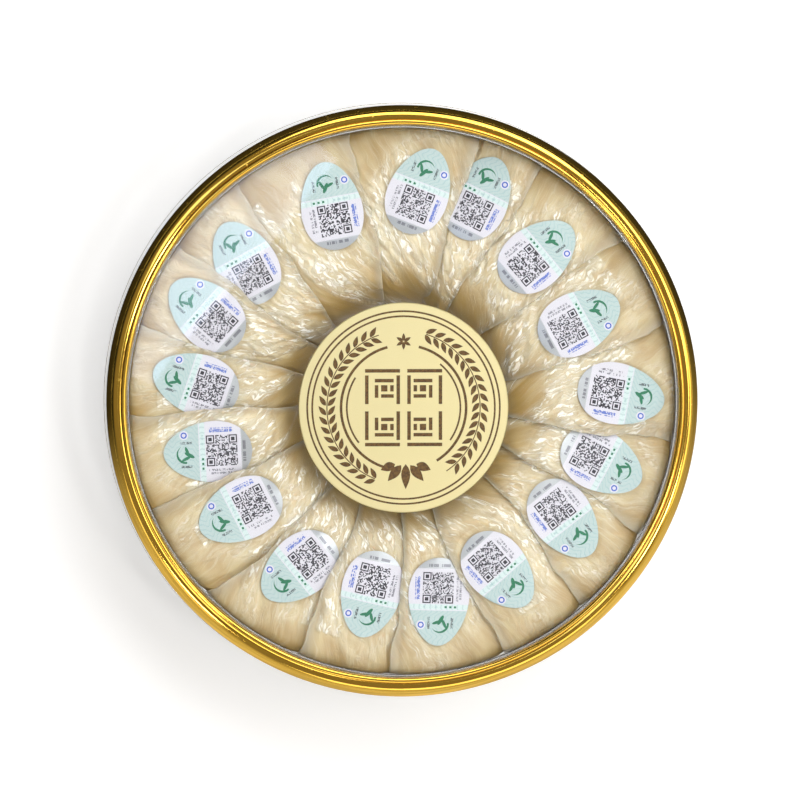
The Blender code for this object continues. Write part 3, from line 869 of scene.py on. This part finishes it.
def sticker_print(name):
    """Everything printed on a sticker, in millimetres from its middle."""
    finish = Finish(name, specular_ior_level=0.3)
    aside, out, which = finish.split(finish.attribute("printed", "Vector"))

    def patch(middle_aside, middle_out, half_aside, half_out):
        """1 inside an upright rectangle."""
        far_aside = abs(aside - middle_aside) / half_aside
        far_out = abs(out - middle_out) / half_out
        return far_aside.either(far_out) < 1.0

    def leaf(middle_aside, middle_out, half_length, half_width, degrees):
        """1 inside an ellipse that leans by an angle."""
        c, s = math.cos(math.radians(degrees)), math.sin(math.radians(degrees))
        x, y = aside - middle_aside, out - middle_out
        long = (x * c + y * s) / half_length
        wide = (y * c - x * s) / half_width
        return (long * long + wide * wide) < 1.0

    def chance(first, second):
        """A random number for each pair of whole numbers."""
        place = finish.join(first, second, which)
        return finish.add("TexWhiteNoise", {"noise_dimensions": "3D"}, {"Vector": place})

    guilloche = ((aside * 1.1 + (out * 0.55).wave() * 2.2) * 2.6 + (out * 1.9).wave() * 1.4).wave()
    waves = guilloche.rising(0.55, 0.95) * 0.5
    cap = out.rising(CAP_START, CAP_START + PRINT_EDGE)
    colour = finish.mix(cap, PAPER_WHITE, finish.mix(waves, CAP_GREEN, CAP_LINE))
    strip = patch(0.0, 2.1, 20.0, 1.05)
    colour = finish.mix(strip, colour, finish.mix(waves, STRIP_GREEN, CAP_LINE))
    dots = abs((aside / 1.9).within_one() - 0.5) < 0.24
    colour = finish.mix(dots * patch(-4.3, 2.1, 2.9, 0.42), colour, LEAF_GREEN)
    faint = (chance((aside / 0.7).floor(), 3.0) > 0.5) * patch(3.6, 2.1, 3.6, 0.4)
    colour = finish.mix(faint * 0.6, colour, CAP_LINE)

    code_aside, code_out = aside - CODE_MIDDLE[0], out - CODE_MIDDLE[1]
    module = chance((code_aside / CODE_CELL).floor(), (code_out / CODE_CELL).floor()) > 0.5
    module = module * patch(*CODE_MIDDLE, CODE_HALF, CODE_HALF)
    eye_reach = CODE_HALF - EYE_OUTER
    for corner_aside, corner_out in ((-1, 1), (1, 1), (1, -1)):
        middle = (CODE_MIDDLE[0] + corner_aside * eye_reach, CODE_MIDDLE[1] + corner_out * eye_reach)
        clear, outer, gap, inner = (
            patch(*middle, size, size) for size in (EYE_CLEAR, EYE_OUTER, EYE_GAP, EYE_INNER)
        )
        module = module * (1.0 - clear) + (outer - gap + inner)
    colour = finish.mix(module, colour, INK)

    for line_aside, share, half_width, half_length, ink in BESIDE_CODE:
        stroke = chance((out / 0.42).floor(), line_aside) > share
        nick = chance((out / 0.42).floor(), (aside / 0.3).floor()) > 0.25
        line = patch(line_aside, -5.4, half_width, half_length)
        colour = finish.mix(stroke * nick * line * 0.85, colour, ink)

    silver = 1.0 - out.rising(SILVER_END - PRINT_EDGE, SILVER_END)
    colour = finish.mix(silver, colour, SILVER)
    dash = (chance((aside / 0.4).floor(), 7.0) > 0.2) * patch(0.0, -14.6, 4.4, 0.6)
    dash = dash * (abs(aside) > 0.5)
    colour = finish.mix(dash * 0.75, colour, GREY_INK)

    for row_aside, half_length in ((-5.6, 2.2), (3.9, 2.4)):
        marks = chance((out / 0.4).floor(), (aside / 0.35).floor()) > 0.35
        colour = finish.mix(marks * patch(row_aside, 8.6, 0.5, half_length) * 0.8, colour, INK)
    sprig = leaf(-1.0, 7.4, 2.2, 0.75, 60.0).either(leaf(0.6, 8.3, 1.9, 0.6, 20.0))
    sprig = sprig.either(leaf(-2.4, 8.8, 1.9, 0.6, 115.0))
    bow = leaf(-0.8, 9.0, 3.6, 3.6, 0.0) - leaf(-0.3, 8.6, 3.35, 3.35, 0.0)
    sprig = sprig.either(bow * (out > 8.5))
    colour = finish.mix(sprig, colour, LEAF_GREEN)
    disc = leaf(7.0, 9.4, 1.8, 1.8, 0.0)
    colour = finish.mix(disc, colour, PAPER_WHITE)
    hoop = leaf(7.0, 9.4, 1.25, 1.25, 0.0) - leaf(7.0, 9.4, 0.75, 0.75, 0.0)
    colour = finish.mix(hoop, colour, BLUE_INK)

    creases = finish.noise(finish.join(aside * 0.5, out * 0.35, which), 1.0, detail=2.0)
    finish.shade(
        base_color=colour,
        roughness=0.55 - silver * 0.25,
        metallic=silver * 0.55,
        normal=finish.bump(creases, 0.25 * MM, 0.35),
    )
    return finish


paper_finish = sticker_print("printed_paper")
for nest_index in range(len(NESTS)):
    sticker = make_sticker(nest_index, paper_finish)
    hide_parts(f"label_{nest_index + 1:02d}")
    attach(sticker, "root")


# Lid: one clear moulded plastic plate with a raised rim, which shows as two thin pale lines inside
# the ring's window, and a skirt that drops over the dish's spigot. The flat margin beside each bend
# keeps the plate optically flat.
LID_TOP = 55.2
LID_THICKNESS = 1.8
LID_RIM_HEIGHT = 0.3
LID_RIM_WIDTH = 0.6
LID_SHOULDER = 54.2
LID_SKIRT_RADIUS = 116.2
LID_SKIRT_THICKNESS = 1.9
LID_PLATE_REACH = 1.6
LID_FOOT = 37.7
FLAT_MARGIN = 1.2
RING_WINDOW_RADIUS = 110.6
TOUCH_GAP = 0.35

rim_outer = RING_WINDOW_RADIUS - TOUCH_GAP
rim_inner = rim_outer - LID_RIM_WIDTH
rim_top = LID_TOP + LID_RIM_HEIGHT
lid_outline = rounded(
    [
        (0.0, LID_TOP),
        (rim_inner - FLAT_MARGIN, LID_TOP),
        (rim_inner, LID_TOP),
        (rim_inner + 0.2, rim_top),
        (rim_outer, rim_top),
        (rim_outer, LID_SHOULDER),
        (LID_SKIRT_RADIUS, LID_SHOULDER),
        (LID_SKIRT_RADIUS, LID_FOOT),
        (LID_SKIRT_RADIUS - LID_SKIRT_THICKNESS, LID_FOOT),
        (LID_SKIRT_RADIUS - LID_SKIRT_THICKNESS, LID_SHOULDER - LID_SKIRT_THICKNESS),
        (rim_outer + LID_PLATE_REACH, LID_SHOULDER - LID_SKIRT_THICKNESS),
        (rim_outer + LID_PLATE_REACH, LID_TOP - LID_THICKNESS),
        (rim_outer + LID_PLATE_REACH - FLAT_MARGIN, LID_TOP - LID_THICKNESS),
        (0.0, LID_TOP - LID_THICKNESS),
    ],
    EDGE_ROUND,
)
lid = turned("lid", lid_outline, clear_plastic("clear_lid_plastic"))
lid.visible_shadow = False
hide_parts("clear_lid")
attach(lid, "root")


# Ring: moulded plastic plated bright gold, pressed over the lid's shoulder. A small bead runs
# round its window, then a fine groove, then one broad roll down to its foot.
RING_STEPS = 256
RING_RADIUS = 118.5
RING_TOP = 58.0
RING_BOTTOM = 37.7
RING_ROLL_RADIUS = 113.9
RING_ROLL_DROP = 0.3
RING_ROLL_HEIGHT = 5.7
# Millimetres out from the roll's crown and the slope there in degrees
ROLL_SLOPES = ((0.0, 0.0), (1.2, 18.0), (2.2, 44.0), (4.5, 58.0), (4.6, 84.0))
ROLL_STEPS = 36
RING_FOOT_BEVEL = (0.8, 1.2)
BEAD_RADIUS = 1.15
BRIGHT_GOLD = (0.92, 0.57, 0.09, 1.0)
STREAKED_GOLD = (0.80, 0.42, 0.04)

shelf = LID_SHOULDER + TOUCH_GAP
bore = LID_SKIRT_RADIUS + TOUCH_GAP
roll_middle = RING_TOP - RING_ROLL_DROP - RING_ROLL_HEIGHT
bead_middle = RING_WINDOW_RADIUS + BEAD_RADIUS
roll_width = RING_RADIUS - RING_ROLL_RADIUS
ring_outline = [(RING_WINDOW_RADIUS, shelf)]
ring_outline += arc(bead_middle, RING_TOP - BEAD_RADIUS, BEAD_RADIUS, BEAD_RADIUS, 180.0, 20.0, 14)
ring_outline += arc(RING_ROLL_RADIUS, roll_middle, roll_width, RING_ROLL_HEIGHT, 104.0, 90.0, 6)
step_out = roll_width / ROLL_STEPS
for step in range(ROLL_STEPS):
    slope = math.radians(np.interp((step + 0.5) * step_out, *zip(*ROLL_SLOPES)))
    radius, height = ring_outline[-1]
    ring_outline.append((radius + step_out, height - step_out * math.tan(slope)))
ring_outline += rounded(
    [
        (RING_RADIUS, roll_middle - 1.2),
        (RING_RADIUS, RING_BOTTOM + RING_FOOT_BEVEL[1]),
        (RING_RADIUS - RING_FOOT_BEVEL[0], RING_BOTTOM),
        (bore, RING_BOTTOM),
        (bore, shelf),
        (RING_WINDOW_RADIUS + 0.4, shelf),
    ],
    EDGE_ROUND,
)


def plated_gold(name):
    """Bright plating: a mirror with faint streaks round the ring and a few dull specks."""
    finish = Finish(name, base_color=BRIGHT_GOLD, metallic=1.0, roughness=0.08)
    x, y, z = finish.split(finish.add("TexCoord", {}, {}, "Object"))
    out = (x * x + y * y).math("SQRT", x * x + y * y)
    around = y.math("ARCTAN2", x, y)
    streaks = finish.noise(finish.join(out * 900.0, around * 7.0, z * 900.0), 1.0, detail=3.0)
    specks = finish.noise(finish.join(x * 260.0, y * 260.0, z * 260.0), 1.0, detail=2.0)
    finish.shade(
        base_color=finish.mix(streaks.rising(0.35, 0.7) * 0.25, BRIGHT_GOLD[:3], STREAKED_GOLD),
        roughness=0.06 + streaks * 0.06 + specks.rising(0.68, 0.74) * 0.2,
        normal=finish.bump(streaks, 0.05 * MM, 0.35),
    )
    return finish


ring = turned("plated_ring", ring_outline, plated_gold("plated_gold"), RING_STEPS)
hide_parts("gold_ring")
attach(ring, "root")


# Medallion: a thin disc of satin gold metal stuck on the lid. Rings, a wreath, a square lattice
# and a sprig are engraved in it and filled with dark brown.
MEDALLION_RADIUS = 42.0
MEDALLION_MIDDLE = -2.2
MEDALLION_THICKNESS = 1.2
MEDALLION_CHAMFER = 0.3
MEDALLION_STEPS = 180
ENGRAVING_DEPTH = 0.22
PALE_GOLD = (0.86, 0.76, 0.42, 1.0)
GRAINED_GOLD = (0.80, 0.68, 0.32)
DARK_FILL = (0.085, 0.038, 0.006, 1.0)
WORN_FILL = (0.17, 0.085, 0.014)
THIN_RINGS = (0.924, 0.876)
THIN_LINE = 0.0085
# Radius, half width and the two bearings of each arc, and bearing, distance and length of each leaf
BROKEN_ARCS = (
    (0.60, 0.0125, 14.0, 148.0),
    (0.60, 0.0125, 196.0, 345.0),
    (0.545, 0.0085, 40.0, 125.0),
    (0.545, 0.0085, 232.0, 302.0),
)
SPRIG_LEAVES = (
    (180.0, 0.162, 0.24),
    *((bearing, 0.168, 0.20) for bearing in (140.0, 220.0)),
    *((bearing, 0.185, 0.15) for bearing in (112.0, 248.0)),
)
WREATH_RADIUS = 0.735
WREATH_SPREAD = 0.045
WREATH_SPANS = ((20.0, 146.0), (205.0, 341.0))
WREATH_STEP = 7.0
WREATH_STEM = 0.005
# Length and width of the leaves and petals, and how far a wreath's leaves turn from its stem
WREATH_LEAF = (0.115, 0.045)
WREATH_LEAF_TURN = 38.0
SPRIG_MIDDLE = Vector((0.02, -0.50))
SPRIG_LEAF_WIDTH = 0.085
FLOWER_MIDDLE = Vector((0.0, 0.635))
PETALS = 6
PETAL_OUT = 0.042
PETAL = (0.075, 0.032)
LATTICE_TILE = 0.335
LATTICE_GAP = 0.035
# Bars of one tile of the lattice, as shares of its width: left, low, right and high
LATTICE_BARS = (
    *((0.0, 0.90, 1.0, 1.0), (0.90, 0.0, 1.0, 0.82), (0.0, 0.0, 0.10, 0.82)),
    *((0.18, 0.62, 0.72, 0.72), (0.62, 0.18, 0.72, 0.54)),
    *((0.18, 0.18, 0.54, 0.28), (0.18, 0.36, 0.28, 0.54), (0.36, 0.36, 0.54, 0.54)),
)


def band(radius, half_width, start, end):
    """A curved strip between two bearings, as one outline round the medallion's middle."""
    bearings = np.linspace(start, end, max(4, int(abs(end - start) / 3.0)))
    outer = [on_plan(bearing, radius + half_width, 0.0).xy for bearing in bearings]
    inner = [on_plan(bearing, radius - half_width, 0.0).xy for bearing in bearings[::-1]]
    return outer + inner


def leaf_outline(middle, length, width, bearing):
    """A pointed leaf, its tip towards a bearing."""
    shares = np.linspace(-1.0, 1.0, 8)
    tip = on_plan(bearing, 1.0, 0.0).xy
    side = on_plan(bearing + 90.0, 1.0, 0.0).xy
    edge = [(share, (1.0 - share * share) * (1.0 - 0.35 * share)) for share in shares]
    outline = [middle + tip * (length * a / 2.0) + side * (width * b / 2.0) for a, b in edge]
    outline += [middle + tip * (length * a / 2.0) - side * (width * b / 2.0) for a, b in edge[-2:0:-1]]
    return outline


def bar(x0, y0, x1, y1):
    return [Vector((x0, y0)), Vector((x1, y0)), Vector((x1, y1)), Vector((x0, y1))]


def engraving():
    """Outlines of all that is engraved, as shares of the medallion's radius."""
    outlines = []
    for radius in THIN_RINGS:
        outlines += [band(radius, THIN_LINE, 0.0, 180.0), band(radius, THIN_LINE, 180.0, 360.0)]
    for radius, half_width, start, end in BROKEN_ARCS:
        outlines.append(band(radius, half_width, start, end))
    for start, end in WREATH_SPANS:
        for bearing in np.arange(start, end, WREATH_STEP):
            for side in (-1.0, 1.0):
                middle = on_plan(bearing, WREATH_RADIUS + side * WREATH_SPREAD, 0.0).xy
                tip = bearing + 90.0 - side * WREATH_LEAF_TURN
                outlines.append(leaf_outline(middle, *WREATH_LEAF, tip))
        outlines.append(band(WREATH_RADIUS, WREATH_STEM, start - 3.0, end))
    for column in (-1.0, 1.0):
        for row in (-1.0, 1.0):
            for x0, y0, x1, y1 in LATTICE_BARS:
                corner = Vector((LATTICE_GAP, LATTICE_GAP))
                low = corner + Vector((x0, y0)) * LATTICE_TILE
                high = corner + Vector((x1, y1)) * LATTICE_TILE
                outlines.append(bar(column * low.x, row * low.y, column * high.x, row * high.y))
    for bearing, out, length in SPRIG_LEAVES:
        middle = SPRIG_MIDDLE + on_plan(bearing, out, 0.0).xy
        outlines.append(leaf_outline(middle, length, SPRIG_LEAF_WIDTH, bearing))
    for petal in range(PETALS):
        bearing = 360.0 * petal / PETALS
        middle = FLOWER_MIDDLE + on_plan(bearing, PETAL_OUT, 0.0).xy
        outlines.append(leaf_outline(middle, *PETAL, bearing))
    return outlines


def counter_clockwise(outline):
    """The same outline, turned round if it runs clockwise."""
    area = sum(here.cross(there) for here, there in zip(outline, outline[1:] + outline[:1]))
    return outline if area > 0.0 else outline[::-1]


def make_medallion(face_finish, fill_finish):
    """The disc with its engraving cut in: the dark parts are sunk faces with their own finish."""
    bearings = 360.0 * np.arange(MEDALLION_STEPS) / MEDALLION_STEPS
    rim = [on_plan(bearing, 1.0, 0.0).xy for bearing in bearings]
    outlines = [counter_clockwise(outline) for outline in [rim] + engraving()]
    flat = [point for outline in outlines for point in outline]
    ends = np.cumsum([len(outline) for outline in outlines])
    loops = [list(range(end - len(outline), end)) for outline, end in zip(outlines, ends)]
    points, _, triangles, _, _, owners = geometry.delaunay_2d_cdt(flat, [], loops, 0, 1e-5)
    mesh = bmesh.new()
    top = LID_TOP + TOUCH_GAP + MEDALLION_THICKNESS
    face_radius = MEDALLION_RADIUS - MEDALLION_CHAMFER
    corners = [mesh.verts.new((point.x * face_radius, point.y * face_radius, top)) for point in points]
    sunk = []
    for triangle, owner in zip(triangles, owners):
        face = mesh.faces.new([corners[corner] for corner in triangle])
        if any(number > 0 for number in owner):
            face.material_index = 1
            sunk.append(face)
    mesh.normal_update()
    edges = [edge for edge in mesh.edges if edge.is_boundary]
    cut = bmesh.ops.extrude_face_region(mesh, geom=sunk)
    floor_corners = [item for item in cut["geom"] if isinstance(item, bmesh.types.BMVert)]
    bmesh.ops.translate(mesh, verts=floor_corners, vec=(0.0, 0.0, -ENGRAVING_DEPTH))
    bmesh.ops.delete(mesh, geom=sunk, context="FACES_ONLY")
    wall_height = MEDALLION_THICKNESS - MEDALLION_CHAMFER
    for grow, drop in ((MEDALLION_CHAMFER, MEDALLION_CHAMFER), (0.0, wall_height)):
        wall = bmesh.ops.extrude_edge_only(mesh, edges=edges)["geom"]
        edges = [item for item in wall if isinstance(item, bmesh.types.BMEdge)]
        moved = [item for item in wall if isinstance(item, bmesh.types.BMVert)]
        for corner in moved:
            corner.co.xy *= 1.0 + grow / face_radius
            corner.co.z -= drop
    bmesh.ops.contextual_create(mesh, geom=edges)
    bmesh.ops.remove_doubles(mesh, verts=mesh.verts, dist=0.004)
    bmesh.ops.recalc_face_normals(mesh, faces=mesh.faces)
    bmesh.ops.translate(mesh, verts=mesh.verts, vec=(0.0, MEDALLION_MIDDLE, 0.0))
    bmesh.ops.scale(mesh, verts=mesh.verts, vec=(MM, MM, MM))
    data = bpy.data.meshes.new("engraved_medallion")
    mesh.to_mesh(data)
    mesh.free()
    data.materials.append(face_finish.material)
    data.materials.append(fill_finish.material)
    piece = bpy.data.objects.new("engraved_medallion", data)
    bpy.context.scene.collection.objects.link(piece)
    return piece


def satin_gold(name):
    """Fine-grained satin metal with very faint brushing."""
    finish = Finish(name, base_color=PALE_GOLD, metallic=1.0, roughness=0.4)
    x, y, z = finish.split(finish.add("TexCoord", {}, {}, "Object"))
    grain = finish.noise(finish.join(x * 2600.0, y * 2600.0, z), 1.0, detail=3.0)
    brushed = finish.noise(finish.join(x * 300.0, y * 3000.0, z), 1.0, detail=2.0)
    finish.shade(
        base_color=finish.mix(grain.rising(0.3, 0.7) * 0.3, PALE_GOLD[:3], GRAINED_GOLD),
        roughness=0.36 + brushed * 0.12,
        normal=finish.bump(grain + brushed * 0.5, 0.03 * MM, 0.5),
    )
    return finish


def dark_fill(name):
    """Brown enamel in the engraving, a little uneven."""
    finish = Finish(name, base_color=DARK_FILL, metallic=0.0, roughness=0.4)
    place = finish.add("TexCoord", {}, {}, "Object")
    tone = finish.noise(place, 900.0, detail=2.0)
    finish.shade(
        base_color=finish.mix(tone.rising(0.3, 0.7), DARK_FILL[:3], WORN_FILL),
        roughness=0.35 + tone * 0.2,
    )
    return finish


medallion = make_medallion(satin_gold("satin_gold_face"), dark_fill("dark_engraving_fill"))
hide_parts("medallion")
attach(medallion, "root")
